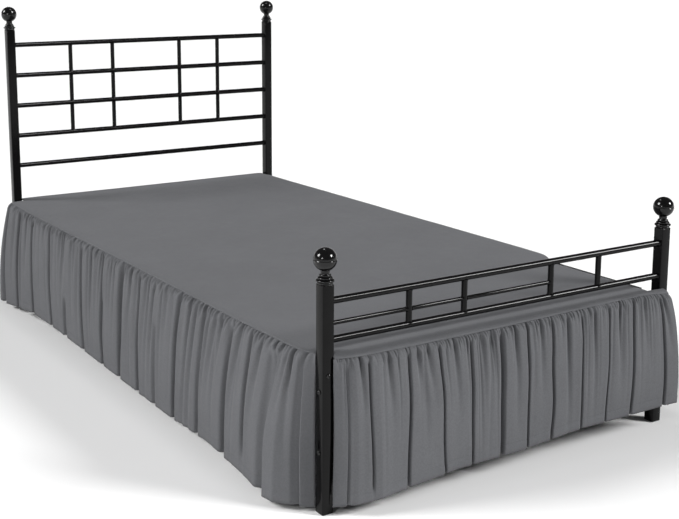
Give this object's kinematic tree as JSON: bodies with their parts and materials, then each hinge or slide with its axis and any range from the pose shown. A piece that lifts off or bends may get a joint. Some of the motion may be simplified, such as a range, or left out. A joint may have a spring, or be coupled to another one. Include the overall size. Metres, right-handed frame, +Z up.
{
  "type": "bed skirt on a bed frame",
  "caption": "Gathered three-sided bed skirt with a flat deck panel and split foot corners, on a plain metal single bed with square posts and ball finials.",
  "frame": {"origin": "on the floor, under the middle of the bed", "axes": "+X across the bed to its far side, +Y along the bed towards the headboard, +Z up"},
  "size_m": [1.1911, 2.0744, 1.0215],
  "materials": {
    "skirt_fabric": "matte brushed microfibre, mid grey",
    "black_metal": "glossy black powder coat"
  },
  "bodies": {
    "root": {"bolt_end_far": "black_metal", "bolt_end_near": "black_metal", "bolt_side_far_1": "black_metal", "bolt_side_far_2": "black_metal", "bolt_side_near_1": "black_metal", "bolt_side_near_2": "black_metal", "deck_panel": "skirt_fabric", "finial_foot_far": "black_metal", "finial_foot_near": "black_metal", "finial_head_far": "black_metal", "finial_head_near": "black_metal", "foot_rail_lower": "black_metal", "foot_rail_upper": "black_metal", "foot_thin_rail_1": "black_metal", "foot_thin_rail_2": "black_metal", "foot_thin_rail_3": "black_metal", "foot_upright_1": "black_metal", "foot_upright_2": "black_metal", "foot_upright_3": "black_metal", "foot_upright_4": "black_metal", "head_rail_1": "black_metal", "head_rail_2": "black_metal", "head_rail_3": "black_metal", "head_rail_4": "black_metal", "head_rail_5": "black_metal", "head_upright_1_1": "black_metal", "head_upright_1_2": "black_metal", "head_upright_1_3": "black_metal", "head_upright_2_1": "black_metal", "head_upright_2_2": "black_metal", "head_upright_2_3": "black_metal", "head_upright_3_1": "black_metal", "head_upright_3_2": "black_metal", "head_upright_3_3": "black_metal", "head_upright_4_1": "black_metal", "head_upright_4_2": "black_metal", "head_upright_4_3": "black_metal", "post_foot_far": "black_metal", "post_foot_near": "black_metal", "post_head_far": "black_metal", "post_head_near": "black_metal", "ruffle_far": "skirt_fabric", "ruffle_foot": "skirt_fabric", "ruffle_near": "skirt_fabric", "side_rail_far": "black_metal", "side_rail_near": "black_metal", "slat_01": "black_metal", "slat_02": "black_metal", "slat_03": "black_metal", "slat_04": "black_metal", "slat_05": "black_metal", "slat_06": "black_metal", "slat_07": "black_metal", "slat_08": "black_metal", "slat_09": "black_metal", "slat_10": "black_metal"}
  },
  "joints": []
}
